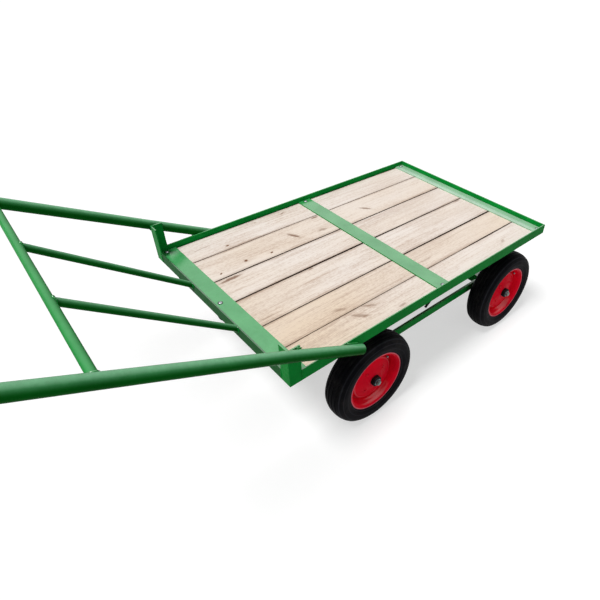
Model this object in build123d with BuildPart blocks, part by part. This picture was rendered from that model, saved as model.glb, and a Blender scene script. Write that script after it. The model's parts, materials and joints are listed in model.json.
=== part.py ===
"""Four-wheel platform hand cart: angle-iron tray with a plank deck, two draw shafts, wheels under the tray.

Millimetres, Z up, +X towards the draw shafts. The origin is on the floor, under the middle of the whole cart.
"""
import os
from math import radians, sqrt, tan

from build123d import *

os.makedirs("parts", exist_ok=True)

# Tray of equal-leg angle iron
tray_length = 1250.0
tray_width = 800.0
rail_leg = 40.0
rail_thick = 4.0
rail_root = 3.0
rail_toe = 1.5

# Deck: six planks and three flat straps
plank_thick = 14.0
plank_seam = 4.0
plank_edge_gap = 3.5
plank_chamfer = 1.2
plank_shares = (128.0, 147.0, 133.0, 154.0, 118.0, 112.0)
strap_thick = 4.0
strap_front_width = 60.0
strap_mid_width = 58.0
strap_rear_width = 46.0
strap_mid_offset = -18.0
strap_gap = 2.0

# Draw shafts, corner posts, cross tube and braces
post_height = 131.0
shaft_radius = 16.5
shaft_wall = 3.0
shaft_angle = 28.2
shaft_splay = 1.6
shaft_foot_back = 243.0
shaft_foot_drop = 0.9
shaft_reach = 795.0
cross_radius = 10.65
cross_wall = 2.65
cross_reach = 394.0
cross_skew = 1.5
brace_radius = 10.0
brace_wall = 2.0
brace_spread = 276.0
brace_foot_height = 31.0

# Wheels
tyre_radius = 172.0
tyre_half = 45.5
tyre_proud = 4.5
tyre_gap = 56.0
tyre_wall_radius = 140.0
shoulder_radius = 160.0
shoulder_half = 39.5
crown_half = 18.0
front_axle_back = 338.0
rear_axle_in = 167.0
rim_radius = 112.5
rim_half = 34.5
rim_sheet = 3.0
flange_height = 11.0
flange_width = 5.0
disc_seat = -2.0
dome_foot_radius = 88.0
dome_top_radius = 79.0
dome_height = 15.5
cone_top_radius = 30.0
cone_height = 11.5
hub_radius = 19.0
hub_half = 32.0
hub_proud = 8.0

# Axles, washers and nuts
beam_side = 40.0
collar_radius = 14.0
collar_length = 8.5
spindle_radius = 8.0
spindle_clear = 0.05
end_play = 0.5
thread_radius = 6.0
thread_proud = 1.5
washer_radius = 13.0
washer_thick = 2.0
nut_thick = 7.0
nut_flats = 17.0

# Under-frame
lower_rail_leg = 30.0
lower_rail_clear = 15.5
lower_rail_over = 42.0

# Places worked out from the sizes
tray_z = 2 * tyre_radius + tyre_gap
deck_z = tray_z + rail_thick
plank_top = deck_z + plank_thick
tray_half = tray_width / 2
lip_in = tray_half - rail_thick
leg_in = tray_half - rail_leg
reach_back = max(0.0, tyre_radius - rear_axle_in)
shaft_slope = Vector(1, 0, tan(radians(shaft_angle)))
shaft_way = shaft_slope + Vector(0, tan(radians(shaft_splay)), 0)
tip_reach = shaft_reach + shaft_radius * sqrt(1 - shaft_way.normalized().X ** 2)
front_x = (tray_length + reach_back - tip_reach) / 2
rear_x = front_x - tray_length
strap_mid_x = (front_x + rear_x) / 2 + strap_mid_offset
wheel_y = tray_half + tyre_proud - tyre_half
axle_front_x = front_x - front_axle_back
axle_rear_x = rear_x + rear_axle_in
hub_in = wheel_y - hub_half
hub_out = wheel_y + hub_half + hub_proud
spindle_in = hub_in - end_play
spindle_out = hub_out + end_play
beam_half = spindle_in - collar_length
nut_in = spindle_out + washer_thick
nut_out = nut_in + nut_thick
lower_rail_y = wheel_y - tyre_half - lower_rail_clear
lower_rail_z = tyre_radius + beam_side / 2
shaft_y = tray_half + shaft_radius
shaft_z = tray_z - shaft_foot_drop
cross_way = shaft_slope * tan(radians(cross_skew)) + Vector(0, 1, 0)
cross_middle = Vector(front_x - shaft_foot_back, 0, shaft_z) + shaft_slope * (shaft_foot_back + cross_reach)

UP = (0, 0, 1)
DOWN = (0, 0, -1)
FORWARD = (1, 0, 0)
BACK = (-1, 0, 0)
LEFT = (0, 1, 0)
sides = {"l": 1, "r": -1}
wheels = {
    "fl": (axle_front_x, 1),
    "fr": (axle_front_x, -1),
    "rl": (axle_rear_x, 1),
    "rr": (axle_rear_x, -1),
}


def save(piece, name):
    """Label a finished piece and write it."""
    piece.part.label = name
    export_step(piece.part, f"parts/{name}.step")


def angle_bar(corner, leg_a, leg_b, along, length, leg=rail_leg):
    """Add angle iron whose outer corner starts at a point and runs along a direction."""
    first, second = Vector(leg_a), Vector(leg_b)
    if first.cross(second).dot(Vector(along)) < 0:
        first, second = second, first
    with BuildSketch(Plane(origin=corner, x_dir=first, z_dir=along)) as section:
        with BuildLine():
            Polyline(
                (0, 0),
                (leg, 0),
                (leg, rail_thick),
                (rail_thick, rail_thick),
                (rail_thick, leg),
                (0, leg),
                close=True,
            )
        make_face()
        fillet(section.vertices().sort_by_distance((rail_thick, rail_thick))[0], radius=rail_root)
        for tip in ((leg, rail_thick), (rail_thick, leg)):
            fillet(section.vertices().sort_by_distance(tip)[0], radius=rail_toe)
    extrude(section.sketch, amount=length)


def cut_block(low, high):
    """Take a box between two corners out of the piece."""
    size = [b - a for a, b in zip(low, high)]
    middle = [(a + b) / 2 for a, b in zip(low, high)]
    with Locations(tuple(middle)):
        Box(*size, mode=Mode.SUBTRACT)


def mitre_plane(side):
    """Upright plane through a rear corner, halfway between the side rail and the rear rail."""
    return Plane(origin=(rear_x, side * tray_half, tray_z), z_dir=(1, side, 0))


def shaft_line(side):
    """Foot, bend and tip of a shaft's centre line."""
    foot = Vector(front_x - shaft_foot_back, side * shaft_y, shaft_z)
    bend = foot + shaft_slope * shaft_foot_back
    tip = bend + Vector(1, side * shaft_way.Y, shaft_way.Z) * shaft_reach
    return foot, bend, tip


cross_plane = Plane(origin=cross_middle, z_dir=cross_way)

# Side rails: upright leg outside as a lip, flat leg inside; mitred behind, coped for the corner post in front
for tag, side in sides.items():
    with BuildPart() as side_rail:
        length = tray_length - rail_thick - rail_root
        angle_bar((rear_x, side * tray_half, tray_z), (0, -side, 0), UP, FORWARD, length)
        split(bisect_by=mitre_plane(side), keep=Keep.TOP)
        low, high = sorted((side * lip_in, side * tray_half))
        cut_block((front_x - rail_leg, low, tray_z), (front_x, high, tray_z + rail_leg))
    save(side_rail, f"side_rail_{tag}")

with BuildPart() as front_rail:
    angle_bar((front_x, -leg_in, tray_z), BACK, UP, LEFT, 2 * leg_in)
save(front_rail, "front_rail")

with BuildPart() as rear_rail:
    angle_bar((rear_x, -tray_half, tray_z), FORWARD, UP, LEFT, tray_width)
    for side in sides.values():
        split(bisect_by=mitre_plane(side), keep=Keep.BOTTOM)
save(rear_rail, "rear_rail")

# Corner posts of the same angle iron, flush with the rails
for tag, side in sides.items():
    with BuildPart() as post:
        angle_bar((front_x, side * tray_half, tray_z), BACK, (0, -side, 0), UP, post_height)
    save(post, f"post_{tag}")

# Planks run the whole length between the lips
deck_half = lip_in - plank_edge_gap
plank_length = tray_length - 2 * (rail_thick + plank_edge_gap)
timber = 2 * deck_half - plank_seam * (len(plank_shares) - 1)
plank_y = -deck_half
for number, share in enumerate(plank_shares, start=1):
    width = timber * share / sum(plank_shares)
    with BuildPart() as plank:
        with BuildSketch(Plane.YZ.offset(rear_x + rail_thick + plank_edge_gap)) as end_grain:
            with Locations((plank_y + width / 2, deck_z + plank_thick / 2)):
                Rectangle(width, plank_thick)
            chamfer(end_grain.vertices().group_by(Axis.Z)[-1], length=plank_chamfer)
        extrude(amount=plank_length)
    save(plank, f"plank_{number}")
    plank_y += width + plank_seam

# Flat straps across the planks
strap_front_x = front_x - rail_thick - strap_gap - strap_front_width / 2
strap_rear_x = rear_x + rail_thick + strap_gap + strap_rear_width / 2
straps = {
    "strap_front": (strap_front_x, strap_front_width),
    "strap_mid": (strap_mid_x, strap_mid_width),
    "strap_rear": (strap_rear_x, strap_rear_width),
}
for name, (x, width) in straps.items():
    with BuildPart() as strap:
        with BuildSketch(Plane.XY.offset(plank_top)):
            with Locations((x, 0)):
                Rectangle(width, 2 * (lip_in - strap_gap))
        extrude(amount=strap_thick)
    save(strap, name)

# Draw shafts: open tubes that lie against the side rails and the posts, then bend outward
for tag, side in sides.items():
    foot, bend, tip = shaft_line(side)
    with BuildPart() as shaft:
        with BuildLine():
            Polyline(foot, bend, tip)
        with BuildSketch(Plane(origin=foot, z_dir=bend - foot)):
            Circle(shaft_radius)
            Circle(shaft_radius - shaft_wall, mode=Mode.SUBTRACT)
        sweep(transition=Transition.RIGHT)
    save(shaft, f"shaft_{tag}")

# Cross tube, coped to the shafts
with BuildPart() as cross_tube:
    with BuildSketch(cross_plane):
        Circle(cross_radius)
        Circle(cross_radius - cross_wall, mode=Mode.SUBTRACT)
    extrude(amount=shaft_y + cross_reach * shaft_way.Y, both=True)
    for side in sides.values():
        foot, bend, tip = shaft_line(side)
        with BuildSketch(Plane(origin=bend, z_dir=tip - bend)):
            Circle(shaft_radius)
        extrude(amount=shaft_reach, mode=Mode.SUBTRACT)
save(cross_tube, "cross_tube")

# Braces from the front rail's face up to the cross tube, coped there
for tag, side in sides.items():
    y = side * brace_spread / 2
    foot = Vector(front_x, y, tray_z + brace_foot_height)
    way = cross_middle + cross_way * y - foot
    run_out = way * (2 * rail_leg / way.length)
    with BuildPart() as brace:
        with BuildSketch(Plane(origin=foot - run_out, z_dir=way)):
            Circle(brace_radius)
            Circle(brace_radius - brace_wall, mode=Mode.SUBTRACT)
        extrude(amount=(way + run_out).length)
        split(bisect_by=Plane(origin=foot, z_dir=FORWARD), keep=Keep.TOP)
        with BuildSketch(cross_plane):
            Circle(cross_radius)
        extrude(amount=tray_half, both=True, mode=Mode.SUBTRACT)
    save(brace, f"brace_{tag}")

# Bearers under the planks, between the side rails' flat legs
bearers = {"bolster_front": axle_front_x, "bolster_rear": axle_rear_x, "bearer_mid": strap_mid_x}
for name, x in bearers.items():
    with BuildPart() as bearer:
        angle_bar((x - rail_leg / 2, -leg_in, deck_z), FORWARD, DOWN, LEFT, 2 * leg_in)
    save(bearer, name)

# Lower rails lie on the axles, and legs join them to the bolsters
for tag, side in sides.items():
    with BuildPart() as lower_rail:
        start = (axle_rear_x - lower_rail_over, side * lower_rail_y, lower_rail_z)
        length = axle_front_x - axle_rear_x + 2 * lower_rail_over
        angle_bar(start, UP, (0, -side, 0), FORWARD, length, lower_rail_leg)
    save(lower_rail, f"lower_rail_{tag}")

leg_foot = lower_rail_z + rail_thick + rail_root
leg_top = tray_z - rail_root
for tag, (x, side) in wheels.items():
    with BuildPart() as leg:
        corner = (x - rail_leg / 2 + rail_thick, side * (lower_rail_y - rail_thick), leg_foot)
        angle_bar(corner, FORWARD, (0, -side, 0), UP, leg_top - leg_foot)
    save(leg, f"leg_{tag}")

# Axles: a square beam with a collar, a spindle and a threaded end on each side
for name, x in {"axle_front": axle_front_x, "axle_rear": axle_rear_x}.items():
    with BuildPart() as axle:
        with BuildSketch(Plane.XZ):
            with Locations((x, tyre_radius)):
                Rectangle(beam_side, beam_side)
        extrude(amount=beam_half, both=True)
        for side in sides.values():
            steps = (
                (collar_radius, beam_half, spindle_in),
                (spindle_radius, spindle_in, spindle_out),
                (thread_radius, spindle_out, nut_out + thread_proud),
            )
            for radius, start, end in steps:
                with BuildSketch(Plane(origin=(x, side * start, tyre_radius), z_dir=(0, side, 0))):
                    Circle(radius)
                extrude(amount=end - start)
    save(axle, name)

# Rim sheet's middle lines and the tyre's outline, as (radius, distance out from the wheel's middle plane)
bead_radius = rim_radius - flange_height
half_barrel = [(rim_radius, rim_half), (bead_radius, rim_half - flange_width)]
barrel = half_barrel + [(r, -y) for r, y in reversed(half_barrel)]
disc = [
    (bead_radius - rim_sheet / 2, disc_seat),
    (dome_foot_radius, disc_seat),
    (dome_top_radius, disc_seat + dome_height),
    (cone_top_radius, disc_seat + dome_height + cone_height),
    (hub_radius, disc_seat + dome_height + cone_height),
]
half_tyre = [
    (tyre_wall_radius, tyre_half),
    (shoulder_radius, shoulder_half),
    (tyre_radius, crown_half),
]
outline = half_tyre + [(r, -y) for r, y in reversed(half_tyre)]
for tag, (x, side) in wheels.items():
    across = Plane(origin=(x, side * wheel_y, tyre_radius), x_dir=UP, z_dir=(-side, 0, 0))
    spin = Axis(across.origin, (0, side, 0))

    # Rim: a flanged barrel and a dished disc, both of one sheet
    with BuildPart() as rim:
        with BuildSketch(across):
            with BuildLine():
                Polyline(*barrel)
            trace(line_width=rim_sheet)
            with BuildLine():
                Polyline(*disc)
            trace(line_width=rim_sheet)
        revolve(axis=spin)
    save(rim, f"rim_{tag}")

    # Tyre: crown, shoulders and walls outside, seated in the rim's barrel
    with BuildPart() as tyre:
        with BuildSketch(across):
            with BuildLine():
                Polyline(*outline, *reversed(barrel), close=True)
            make_face()
            with BuildLine():
                Polyline(*barrel)
            trace(line_width=rim_sheet, mode=Mode.SUBTRACT)
        revolve(axis=spin)
    save(tyre, f"tyre_{tag}")

    # Hub sleeve on the spindle
    with BuildPart() as hub:
        with BuildSketch(Plane(origin=(x, side * hub_in, tyre_radius), z_dir=(0, side, 0))):
            Circle(hub_radius)
            Circle(spindle_radius + spindle_clear, mode=Mode.SUBTRACT)
        extrude(amount=hub_out - hub_in)
    save(hub, f"hub_{tag}")

    # Washer and nut on the threaded end
    with BuildPart() as axle_nut:
        with BuildSketch(Plane(origin=(x, side * spindle_out, tyre_radius), z_dir=(0, side, 0))):
            Circle(washer_radius)
            Circle(thread_radius, mode=Mode.SUBTRACT)
        extrude(amount=washer_thick)
        with BuildSketch(Plane(origin=(x, side * nut_in, tyre_radius), z_dir=(0, side, 0))):
            RegularPolygon(nut_flats / 2, 6, major_radius=False)
            Circle(thread_radius, mode=Mode.SUBTRACT)
        extrude(amount=nut_thick)
    save(axle_nut, f"axle_nut_{tag}")
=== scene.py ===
"""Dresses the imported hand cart: sawn boards, enamelled angle iron, welds, bolts, tyres and dished wheels."""

import json
import math

import bmesh
import bpy
from mathutils import Matrix, Vector, noise


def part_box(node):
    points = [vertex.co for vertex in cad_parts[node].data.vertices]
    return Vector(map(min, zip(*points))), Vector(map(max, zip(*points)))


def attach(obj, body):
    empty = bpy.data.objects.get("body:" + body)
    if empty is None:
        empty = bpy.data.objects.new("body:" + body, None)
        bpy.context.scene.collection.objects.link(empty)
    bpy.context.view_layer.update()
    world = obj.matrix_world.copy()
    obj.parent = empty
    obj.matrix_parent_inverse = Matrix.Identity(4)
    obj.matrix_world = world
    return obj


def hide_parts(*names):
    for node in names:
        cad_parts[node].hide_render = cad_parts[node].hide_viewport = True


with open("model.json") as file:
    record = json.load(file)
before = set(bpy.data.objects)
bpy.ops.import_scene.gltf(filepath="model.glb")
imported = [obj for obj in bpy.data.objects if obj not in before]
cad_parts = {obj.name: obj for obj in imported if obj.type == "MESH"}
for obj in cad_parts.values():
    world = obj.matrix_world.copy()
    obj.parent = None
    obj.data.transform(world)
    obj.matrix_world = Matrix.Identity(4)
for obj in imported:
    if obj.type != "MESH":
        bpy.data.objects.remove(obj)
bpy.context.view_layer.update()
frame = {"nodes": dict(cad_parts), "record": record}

bl_info = {
    "name": "Hand cart",
    "version": (1, 0, 0),
    "blender": (4, 5, 0),
    "location": "3D View > Sidebar > Hand cart",
    "description": "Dresses a packed hand cart with boards, enamel, welds, bolts, tyres and wheels",
    "category": "Object",
}

MM = 0.001

# Places read from the frame
FRONT_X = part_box("front_rail")[1].x
REAR_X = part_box("rear_rail")[0].x
MIDDLE_X = (FRONT_X + REAR_X) / 2
TRAY_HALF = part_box("rear_rail")[1].y
TRAY_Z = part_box("rear_rail")[0].z
LIP_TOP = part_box("rear_rail")[1].z
STRAP_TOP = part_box("strap_mid")[1].z
POST_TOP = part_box("post_l")[1].z
LEG = 40 * MM
THICK = 4 * MM

# Shafts: a straight run along the rail and the post, then one that bends outward; the cross tube is askew
SHAFT_RADIUS = 16.5 * MM
SHAFT_ANGLE = math.radians(28.2)
SHAFT_SPLAY = math.tan(math.radians(1.6))
SHAFT_Y = TRAY_HALF + SHAFT_RADIUS
SHAFT_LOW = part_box("shaft_l")[0]
SHAFT_FOOT = Vector((
    SHAFT_LOW.x + SHAFT_RADIUS * math.sin(SHAFT_ANGLE),
    0,
    SHAFT_LOW.z + SHAFT_RADIUS * math.cos(SHAFT_ANGLE),
))
SHAFT_WAY = Vector((math.cos(SHAFT_ANGLE), 0, math.sin(SHAFT_ANGLE)))
SHAFT_BEND = SHAFT_FOOT + SHAFT_WAY * ((FRONT_X - SHAFT_FOOT.x) / SHAFT_WAY.x)
CROSS_RADIUS = 10.65 * MM
CROSS_REACH = 394 * MM
CROSS_SKEW = math.tan(math.radians(1.5))
CROSS_MIDDLE = SHAFT_BEND + SHAFT_WAY * (CROSS_REACH / SHAFT_WAY.x)
CROSS_WAY = Vector((0, 1, 0)) + SHAFT_WAY * (CROSS_SKEW / SHAFT_WAY.x)
BRACE_FOOT = TRAY_Z + 31 * MM
SIDES = {"l": 1, "r": -1}
WHEELS = {"fl": 1, "fr": -1, "rl": 1, "rr": -1}

# Bolts: heads on the straps, slanted tails as (x from the tray's middle, reach), nuts under the front rail
BOLT_Y = 383 * MM
BOLT_MIDDLE_Y = -8 * MM
BOLT_FRONT_IN = 27 * MM
BOLT_REAR_IN = 23 * MM
# A black washer under each strap bolt head, as painted shade round the head
BOLT_SHADE_WASHER = 8.4 * MM
TAILS = ((51 * MM, 34 * MM), (-282 * MM, 20 * MM))
TAIL_WAY = (0.78, 0, -0.62)
TAIL_Y = 394 * MM
TAIL_RADIUS = 4.2 * MM
RAIL_NUTS_Y = (-240 * MM, 22 * MM)
RAIL_NUTS_IN = 12 * MM
RAIL_NUTS_REACH = 18 * MM
TAIL_REACH = 15 * MM
NUT_WASHER = 1.4 * MM

# Sections of the wheels, mm: (radius, distance out from the wheel's middle plane)
TYRE_RADIUS = 172
TYRE_WALL = [(104, 29), (113, 35.8), (116, 38), (126, 43), (139, 45.3), (150, 44.4), (158, 40.6),
             (163.5, 35.4)]
RIM_HALF = [(113.0, 34.8), (111.6, 35.4), (107.0, 33.8), (102.6, 30.4), (99.8, 25.0), (97.0, 16.0),
            (93.6, 9.0)]
RIM_DISC = [(93.4, -2.0), (89.0, -2.0), (86.0, 0.0), (81.0, 11.2), (76.0, 14.6), (52.0, 19.8), (31.0, 24.6),
            (19.0, 25.2)]
HUB_SLEEVE = [(8.4, -31), (9.4, -32), (18, -32), (19, -31), (19, 38.4), (18.2, 39.6), (16.6, 40), (15.4, 40),
              (14.8, 39.2), (13.6, 39.2), (13.2, 40), (9.4, 40), (8.4, 39)]
AXLE_WASHER = [(6.1, 40.5), (12.6, 40.5), (13, 40.9), (13, 42.1), (12.6, 42.5), (6.1, 42.5)]

# Sections of the small fittings on a rim, mm: (radius, height above the fitting's foot)
VALVE_STEM = [(0, 0), (4.2, 0), (4.1, 3), (3.9, 6), (3.8, 16), (3.5, 19), (0, 19)]
VALVE_CAP = [(2.6, 18), (3.4, 18.4), (3.4, 21), (3.0, 21.3), (3.4, 21.6), (3.4, 25), (2.6, 26), (0, 26)]
RIM_BOLT_WASHER = [(0, 0), (5.4, 0), (5.4, 1.1), (0, 1.1)]

# Rings on a tyre's wall, mm: raised (radius, height, half width), and lightened as painted highlight (radius,
# half width)
RAISED = ((118.5, 1.2, 1.6), (133, 0.7, 1.1), (152, 0.8, 1.0))
HIGHLIT_RINGS = ((118.5, 1.6), (133, 1.4), (152, 1.4), (164, 1.6))

# Grooves of the tread, mm: (distance out, half width, share of the depth)
GROOVES = ((33.0, 1.6, 0.35), (22.0, 3.2, 1.0), (7.5, 3.6, 1.0))

# Where a rim gets a painted highlight in its edge colour, mm: the lip from this radius out, and the shoulder
# of the dish
HIGHLIT_LIP = 108.5
HIGHLIT_SHOULDER = 79.5

# Nuts on the axles, and bolts, valves and welds on the rims; OUT is a distance out along the axle
NUT_OUT = 42.5 * MM
NUT_FLATS = 17 * MM
NUT_HEIGHT = 7 * MM
NUT_HOLE = 6.05 * MM
THREAD_OUT = 45 * MM
THREAD_RADIUS = 6.06 * MM
THREAD_REACH = 6.1 * MM
RIM_WELD = 92 * MM
RIM_WELD_BEAD = 1.6 * MM
RIM_BOLT_OUT = 21.4 * MM
RIM_BOLT_TURN = math.radians(38)
RIM_BOLT_FLATS = 8 * MM
RIM_BOLT_HEIGHT = 3.2 * MM
VALVE_OUT = -2 * MM
VALVE_TURN = math.radians(47)

# The stage: lamps as (place, target), the camera's place and axes, and the shift of its picture
SUN = ((1.40, -0.05, 3.0), (0, 0, 0))
SIDE_LAMP = ((-0.3, 3.2, 2.4), (-0.3, 0, 0.3))
SIDE_LAMP_SIZE = 2.6
FLOOR_REACH = 30.0
CAMERA_PLACE = Vector((MIDDLE_X + 1.08943, 1.15115, 1.40581))
CAMERA_RIGHT = Vector((-0.73375, 0.67837, 0.03769))
CAMERA_UP = Vector((-0.40249, -0.47870, 0.78029))
CAMERA_SHIFT = (-0.1130, -0.0031)

# Knots of each board, from the far side, mm from the tray's middle:
# (x, y, half length, half width, turn in degrees, darkness)
KNOTS = {
    1: [(115, -365, 14, 4, 12, 0.5), (243, -370, 4, 3, 0, 0.5), (410, -290, 7, 5, 20, 1.0),
        (490, -332, 40, 2.5, 3, 0.35)],
    2: [(-180, -183, 30, 7, 132, 0.65), (180, -195, 33, 9, 118, 0.75), (68, -161, 21, 8, -10, 0.45),
        (310, -150, 7, 5, 30, 1.0), (410, -163, 8, 6, 10, 1.0), (515, -150, 6, 5, 0, 0.9),
        (35, -255, 20, 6, 4, 0.7)],
    3: [(505, -103, 48, 8, 2, 0.8), (-300, -132, 10, 4, 5, 0.5), (70, -122, 8, 4, 0, 0.6)],
    4: [(-540, 18, 22, 9, 5, 0.4), (265, 22, 12, 4, 0, 0.6), (520, 140, 30, 2.5, 0, 0.4)],
    5: [(-90, 240, 40, 4, 0, 0.3), (330, 255, 26, 6, 160, 0.35)],
    6: [(245, 300, 30, 6, 150, 0.45), (300, 318, 34, 8, 140, 0.5), (160, 365, 20, 5, 0, 0.4),
        (-420, 345, 16, 5, 20, 0.3)],
}

# How tan each board is, and how much more so towards the front
BOARD_WARMTH = {1: 0.0, 2: 0.38, 3: 0.08, 4: 0.04, 5: 0.50, 6: 0.26}
BOARD_FRONT = {1: 0.08, 2: 0.0, 3: 0.30, 4: 0.60, 5: 0.60, 6: 0.75}

# Width of the seam after each board at places along the deck, mm
SEAM = 4.0
SEAMS = {
    1: [(-620, 1.3), (0, 1.0), (620, 1.8)],
    2: [(-620, 3.4), (0, 3.6), (400, 4.2), (620, 3.0)],
    3: [(-620, 2.6), (-200, 4.6), (60, 6.6), (330, 5.4), (620, 3.4)],
    4: [(-620, 6.4), (-200, 5.0), (200, 2.4), (620, 2.0)],
    5: [(-620, 0.9), (-575, 2.6), (-430, 4.4), (-300, 2.8), (-235, 0.8), (620, 0.8)],
}

# Painted finishes: the colours of paint and of thin edges, lightened partly as abraded paint and partly as
# painted highlight, then chips, coat, gloss, and the share of pale green painted highlight on upward faces
FINISHES = {
    "green_enamel": ("green", "green_edge", 0.5, 1.0, 0.24, 0.13),
    "front_green": ("green", "green_edge", 0.5, 0.68, 0.24, 0.19),
    "cross_green": ("green", "green_edge", 0.5, 0.30, 0.22, 0.13),
    # Tube finish: dark paint as painted shade on the sides and undersides, with a strong pale painted
    # highlight on top
    "tube_green": ("green_tube_shade", "green_edge", 0.5, 0.65, 0.22, 0.62),
    # Rear strap finish: paler paint as a painted highlight, standing for the bright reflection on it
    "dusty_green": ("green_highlit", "green_edge", 0.3, 1.0, 0.30, 0.0),
    # Front rail finish: darker paint as painted shade on its front face
    "grimy_green": ("green_low", "green_edge", 0.8, 0.92, 0.34, 0.0),
    "red_enamel": ("red", "red_edge", 0.3, 0.5, 0.20, 0.0),
    "black_enamel": ("hub", "hub_edge", 0.4, 0.15, 0.34, 0.0),
}

# Green pieces whose finish isn't green_enamel
GREEN_PIECES = {
    "shaft_l": "tube_green", "shaft_r": "tube_green", "brace_l": "tube_green", "brace_r": "tube_green",
    "cross_tube": "cross_green", "front_rail": "grimy_green", "strap_front": "front_green",
    "strap_rear": "dusty_green",
}


def colour(name, text, value):
    """A colour that a user may change."""
    return bpy.props.FloatVectorProperty(
        name=name, description=text, subtype="COLOR", size=3, min=0.0, max=1.0, default=value)


def amount(name, text, value, low=0.0, **extra):
    """A number that a user may change."""
    return bpy.props.FloatProperty(name=name, description=text, min=low, default=value, **extra)


def length(name, text, value):
    """A length that a user may change."""
    return amount(name, text, value, unit="LENGTH", precision=4)


class CartColours(bpy.types.PropertyGroup):
    """Colours of the cart's finishes."""
    green: colour("Frame green", "Enamel on the tray, straps and under-frame", (0.004, 0.262, 0.036))
    # Painted highlight: the rear strap's enamel is paler, standing for the bright reflection on it
    green_highlit: colour("Highlit green", "Enamel on the rear strap, with dust on it", (0.36, 0.60, 0.41))
    # Painted shade: the tubes' enamel is darker, standing for shade on their sides and undersides
    green_tube_shade: colour("Tube green", "Enamel on the shafts and braces", (0.002, 0.105, 0.008))
    # Painted shade: the front rail's enamel is darker, standing for shade on its front face
    green_low: colour("Shaded green", "Enamel on the front rail", (0.012, 0.105, 0.024))
    # Edge green: thin enamel over edges, lightened partly as abraded paint and partly as painted highlight
    green_edge: colour("Edge green", "Thin enamel over sharp edges", (0.05, 0.42, 0.13))
    red: colour("Wheel red", "Enamel on the rims", (0.90, 0.005, 0.026))
    # Edge red: lightens the rims' edges partly as abraded paint and partly as painted highlight, and paints
    # the highlight rings on the lip and dish shoulder
    red_edge: colour("Edge red", "Thin enamel over the rims' edges", (0.90, 0.20, 0.26))
    rubber: colour("Rubber", "Tyres", (0.005, 0.005, 0.0065))
    # The black washers under the strap bolt heads stand for painted shade round the heads
    hub: colour("Hub black", "Hub sleeves, and the strap bolts' washers and nuts", (0.012, 0.012, 0.014))
    # Edge black: thin enamel over edges, lightened partly as abraded paint and partly as painted highlight
    hub_edge: colour("Edge black", "Thin enamel over the edges of black pieces", (0.06, 0.06, 0.065))
    zinc: colour("Zinc", "Heads of the strap bolts", (0.46, 0.48, 0.50))
    steel: colour("Steel", "Nuts and washers on the axles, and valve caps", (0.15, 0.18, 0.185))
    wood_pale: colour("Pale wood", "Early wood of the boards", (0.88, 0.80, 0.735))
    wood_warm: colour("Warm wood", "Boards that are more tan", (0.83, 0.68, 0.53))
    wood_dark: colour("Late wood", "Rings and streaks of the boards", (0.52, 0.375, 0.285))
    knot: colour("Knot", "Knots and stained edges of the boards", (0.19, 0.085, 0.042))
    seam: colour("Seam", "The boards' sides, deep in the seams", (0.050, 0.022, 0.011))
    floor: colour("Floor", "The stage's floor", (0.50, 0.50, 0.50))


class CartSizes(bpy.types.PropertyGroup):
    """Sizes of the small pieces."""
    bead: length("Weld bead", "Radius of a weld bead", 2.6 * MM)
    edge_wander: length("Edge wander", "How far a board's sawn edge strays", 0.8 * MM)
    bolt_head: length("Bolt head", "Radius of a strap bolt's round head", 6.6 * MM)
    bolt_thread: length("Bolt thread", "Radius of a strap bolt", 4.0 * MM)
    rib_depth: length("Rib depth", "Depth of the tyre's tread grooves", 3.0 * MM)
    sheet: length("Rim sheet", "Thickness of the rim's sheet", 3.0 * MM)
    wheel_bolt_circle: length("Wheel bolt circle", "Radius of the circle of small bolts on a rim", 50 * MM)
    valve_circle: length("Valve circle", "Radius at which the valve comes through the rim", 88.6 * MM)


class CartStage(bpy.types.PropertyGroup):
    """The floor, the lamps and the camera."""
    sky: amount("Sky", "Light from all round", 0.20)
    sun: amount("Sun", "Soft light from overhead", 2.7)
    sun_spread: amount("Sun spread", "Width of the soft light in the sky", math.radians(18), subtype="ANGLE")
    side_lamp: amount("Side lamp", "Soft lamp on the left", 12.0, unit="POWER")
    white: amount("White", "Lift of the floor to white", 0.57)
    lens: amount("Lens", "Focal length in mm", 29.242, low=1.0)


# Node trees

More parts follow.
